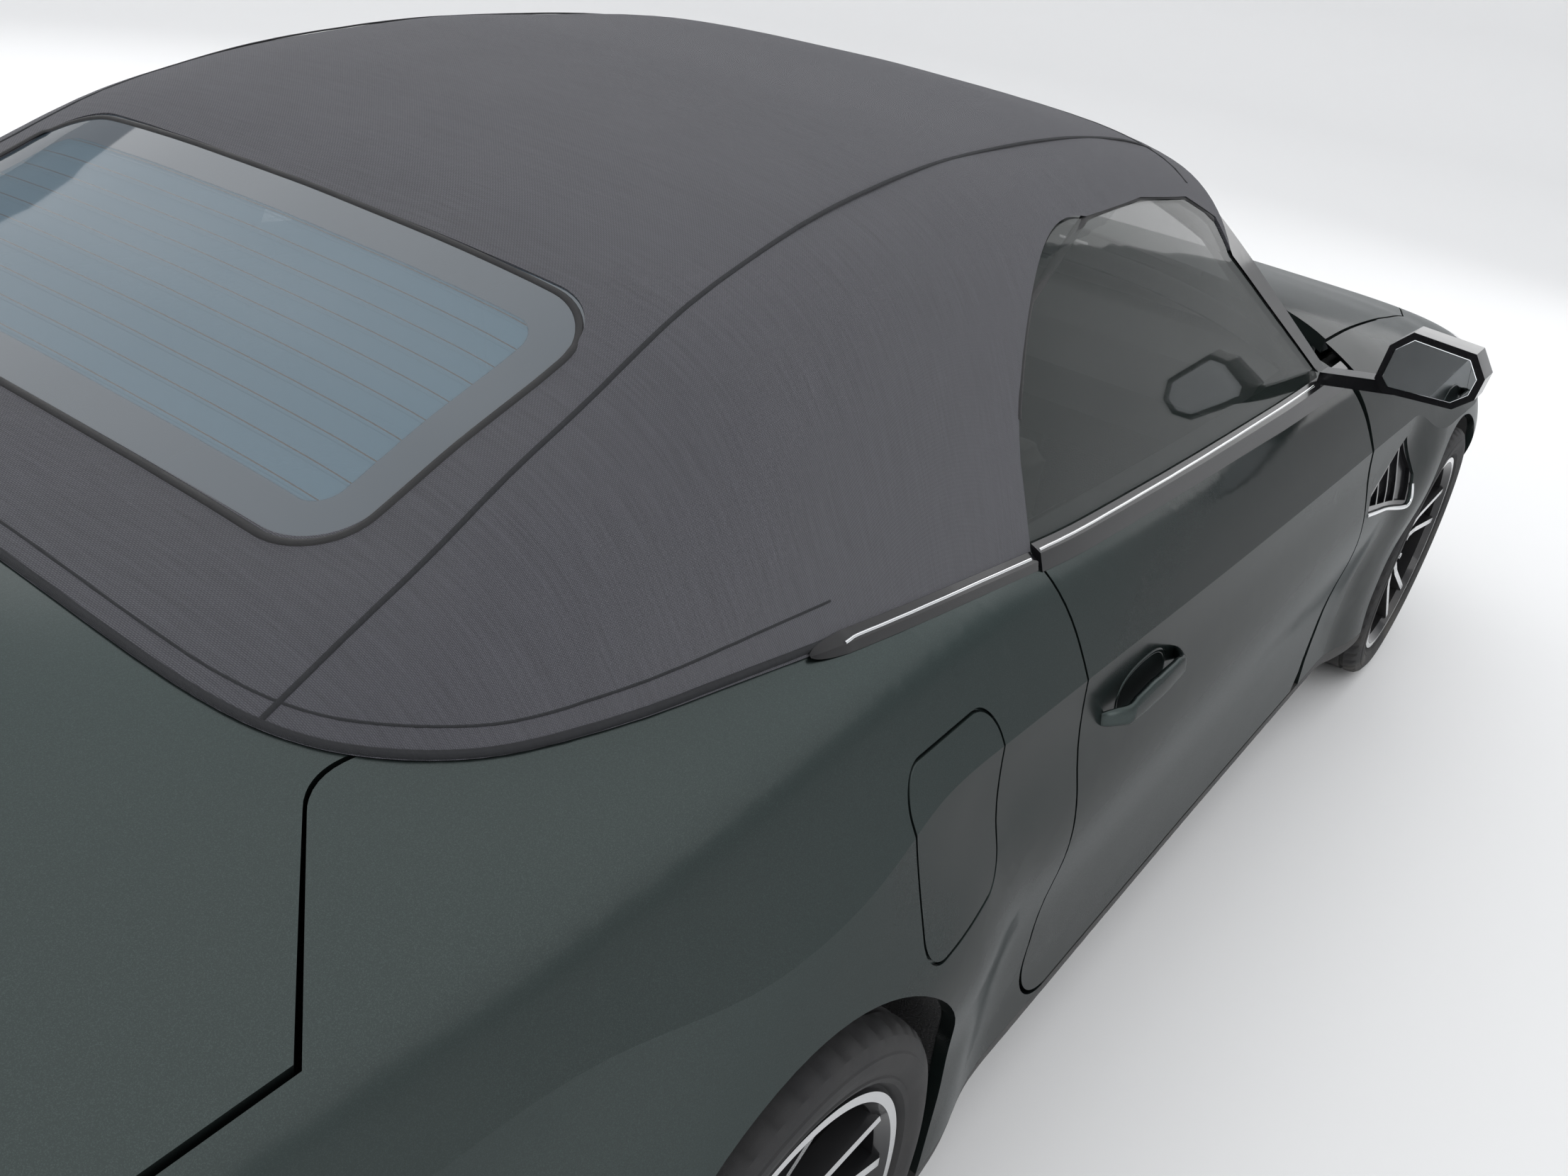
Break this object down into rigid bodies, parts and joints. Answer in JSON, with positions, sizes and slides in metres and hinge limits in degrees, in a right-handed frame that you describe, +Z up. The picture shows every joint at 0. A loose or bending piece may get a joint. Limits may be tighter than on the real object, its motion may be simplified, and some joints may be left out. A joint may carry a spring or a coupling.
{
  "type": "convertible car",
  "caption": "Two-door convertible car with its fabric roof up; doors, lids, steering and wheels move.",
  "frame": {"origin": "on the ground under the middle of the car's bounding box", "axes": "+X to the nose, +Y to the car's left, +Z up"},
  "size_m": [4.792, 2.08, 1.395],
  "materials": {
    "body_paint": "satin metallic dark green grey",
    "underbody": "matt black sealant",
    "cast": "cast and forged, bare",
    "steel": "steel tube",
    "engine_block": "cast aluminium",
    "gloss_black": "high gloss black",
    "matte_black": "grained black",
    "window_glass": "tinted safety glass",
    "roof_fabric": "dark anthracite woven acrylic",
    "lamp_glass": "clear lens over a dark housing",
    "red_lamp": "red lens",
    "seat_leather": "black leather",
    "cabin_plastic": "soft black trim",
    "wheel_leather": "smooth black leather",
    "alloy": "dark alloy with machined faces",
    "tyre_rubber": "black rubber"
  },
  "bodies": {
    "body": {"arch_liners": "underbody", "cabin_mirror": "cabin_plastic", "cowl_panel": "matte_black", "dashboard": "cabin_plastic", "engine": "engine_block", "exhaust": "steel", "floor_pan": "underbody", "front_axle": "cast", "front_bumper": "body_paint", "front_seats": "seat_leather", "front_structure": "underbody", "front_wings": "body_paint", "grille": "gloss_black", "headlamps": "lamp_glass", "quarter_panels": "body_paint", "quarter_trims": "gloss_black", "rear_axle": "cast", "rear_bumper": "body_paint", "rear_seat": "seat_leather", "rear_structure": "underbody", "rear_window": "window_glass", "screen_frame": "gloss_black", "side_vents": "gloss_black", "sill_covers": "matte_black", "soft_top": "roof_fabric", "tail_lamps": "red_lamp", "tonneau_lid": "body_paint", "windscreen": "window_glass", "wipers": "matte_black"},
    "bonnet": {"bonnet": "body_paint"},
    "boot_lid": {"boot_lid": "body_paint", "boot_lamps": "red_lamp"},
    "fuel_flap": {"fuel_flap": "body_paint"},
    "steering_wheel": {"steering_wheel": "wheel_leather"},
    "door_left": {"door_left": "body_paint", "door_glass_left": "window_glass", "door_trim_left": "gloss_black"},
    "knuckle_left": {"knuckle_left": "cast"},
    "door_right": {"door_right": "body_paint", "door_glass_right": "window_glass", "door_trim_right": "gloss_black"},
    "knuckle_right": {"knuckle_right": "cast"},
    "wheel_front_left": {"wheel_front_left": "alloy", "tyre_front_left": "tyre_rubber"},
    "wheel_front_right": {"wheel_front_right": "alloy", "tyre_front_right": "tyre_rubber"},
    "wheel_rear_left": {"wheel_rear_left": "alloy", "tyre_rear_left": "tyre_rubber"},
    "wheel_rear_right": {"wheel_rear_right": "alloy", "tyre_rear_right": "tyre_rubber"}
  },
  "joints": [
    {"name": "bonnet_hinge", "type": "hinge", "parent": "body", "child": "bonnet", "pos_m": [0.89, 0, 0.902], "axis": [0, -1, 0], "range_deg": [0, 45]},
    {"name": "boot_lid_hinge", "type": "hinge", "parent": "body", "child": "boot_lid", "pos_m": [-1.9815, 0, 1.00322], "axis": [0, 1, 0], "range_deg": [0, 70]},
    {"name": "fuel_flap_hinge", "type": "hinge", "parent": "body", "child": "fuel_flap", "pos_m": [-0.87, -0.88298, 0.776], "axis": [0, 0.1961, 0.9806], "range_deg": [0, 80]},
    {"name": "door_left_hinge", "type": "hinge", "parent": "body", "child": "door_left", "pos_m": [0.862, 0.86099, 0.55], "axis": [0, 0, -1], "range_deg": [0, 65]},
    {"name": "door_right_hinge", "type": "hinge", "parent": "body", "child": "door_right", "pos_m": [0.862, -0.86099, 0.55], "axis": [0, 0, 1], "range_deg": [0, 65]},
    {"name": "steer_left", "type": "hinge", "parent": "body", "child": "knuckle_left", "pos_m": [1.542, 0.79, 0.338], "axis": [0, 0, 1], "range_deg": [-32, 32]},
    {"name": "steer_right", "type": "hinge", "parent": "body", "child": "knuckle_right", "pos_m": [1.542, -0.79, 0.338], "axis": [0, 0, 1], "range_deg": [-32, 32]},
    {"name": "steering_wheel_turn", "type": "hinge", "parent": "body", "child": "steering_wheel", "pos_m": [0.38, 0.37, 0.832], "axis": [-0.927, 0, 0.375], "range_deg": [-448, 448]},
    {"name": "spin_front_left", "type": "hinge", "parent": "knuckle_left", "child": "wheel_front_left", "pos_m": [1.542, 0.805, 0.338], "axis": [0, 1, 0], "continuous": true},
    {"name": "spin_front_right", "type": "hinge", "parent": "knuckle_right", "child": "wheel_front_right", "pos_m": [1.542, -0.805, 0.338], "axis": [0, 1, 0], "continuous": true},
    {"name": "spin_rear_left", "type": "hinge", "parent": "body", "child": "wheel_rear_left", "pos_m": [-1.315, 0.805, 0.338], "axis": [0, 1, 0], "continuous": true},
    {"name": "spin_rear_right", "type": "hinge", "parent": "body", "child": "wheel_rear_right", "pos_m": [-1.315, -0.805, 0.338], "axis": [0, 1, 0], "continuous": true}
  ],
  "couplings": [
    {"joint": "steer_right", "follows": "steer_left", "ratio": 1},
    {"joint": "steering_wheel_turn", "follows": "steer_left", "ratio": 14}
  ]
}
